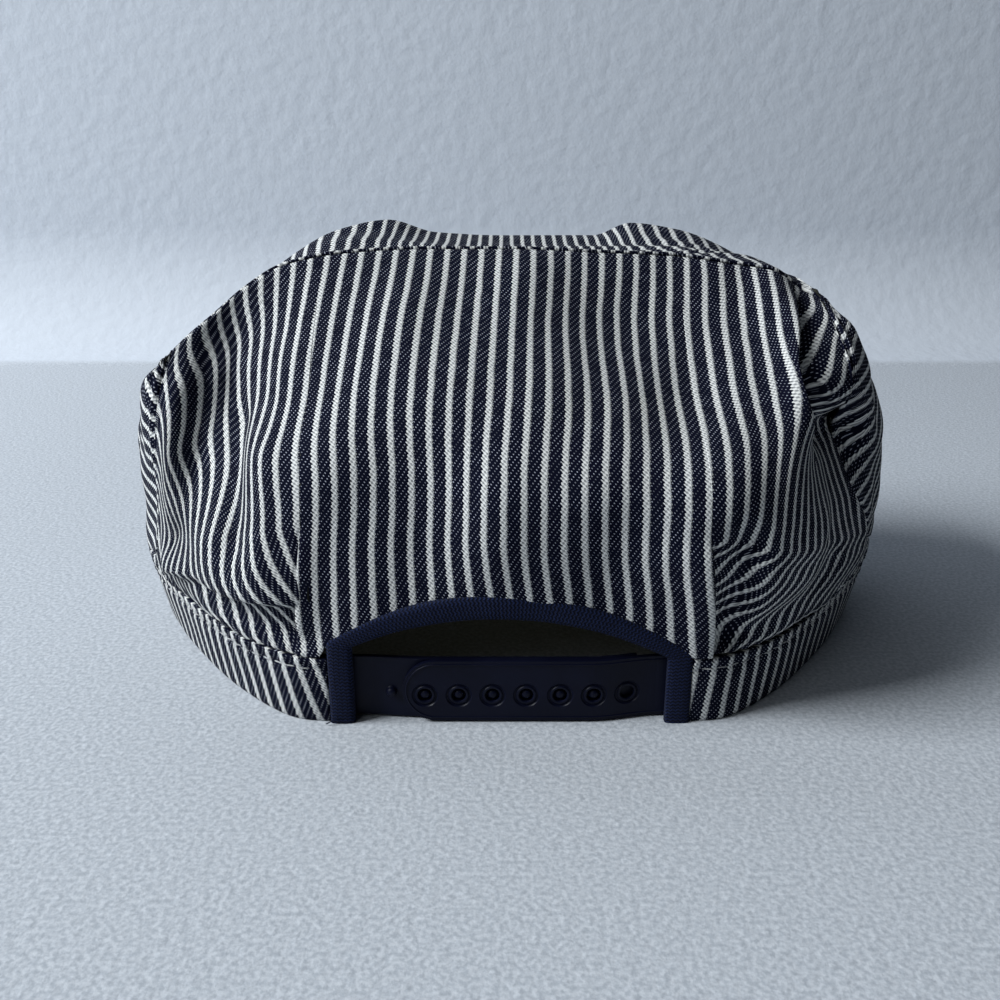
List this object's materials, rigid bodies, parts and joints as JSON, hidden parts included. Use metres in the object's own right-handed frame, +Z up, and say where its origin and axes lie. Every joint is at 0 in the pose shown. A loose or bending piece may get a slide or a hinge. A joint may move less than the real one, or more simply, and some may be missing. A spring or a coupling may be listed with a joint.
{
  "type": "conductor cap",
  "caption": "Soft conductor cap of striped cloth with a flat top, a head band, a visor and an arched back opening closed by a plastic snap strap.",
  "frame": {"origin": "under the middle of the bounding box, on the surface the cap stands on", "axes": "+X to the wearer's right, +Y forward to the visor, +Z up; the arched opening faces -Y"},
  "size_m": [0.235, 0.1954, 0.1151],
  "materials": {
    "crown_cloth": "navy and off-white striped twill",
    "top_cloth": "navy and off-white striped twill",
    "band_cloth": "navy and off-white striped twill, topstitched",
    "binding_tape": "navy ribbed knit tape",
    "strap_plastic": "dark navy satin moulded plastic",
    "visor_cloth": "navy and off-white striped twill over a stiff board"
  },
  "bodies": {
    "root": {"crown_side": "crown_cloth", "crown_top": "top_cloth", "band": "band_cloth", "opening_binding": "binding_tape", "strap_pegs": "strap_plastic", "strap_holes": "strap_plastic", "visor": "visor_cloth"}
  },
  "joints": []
}
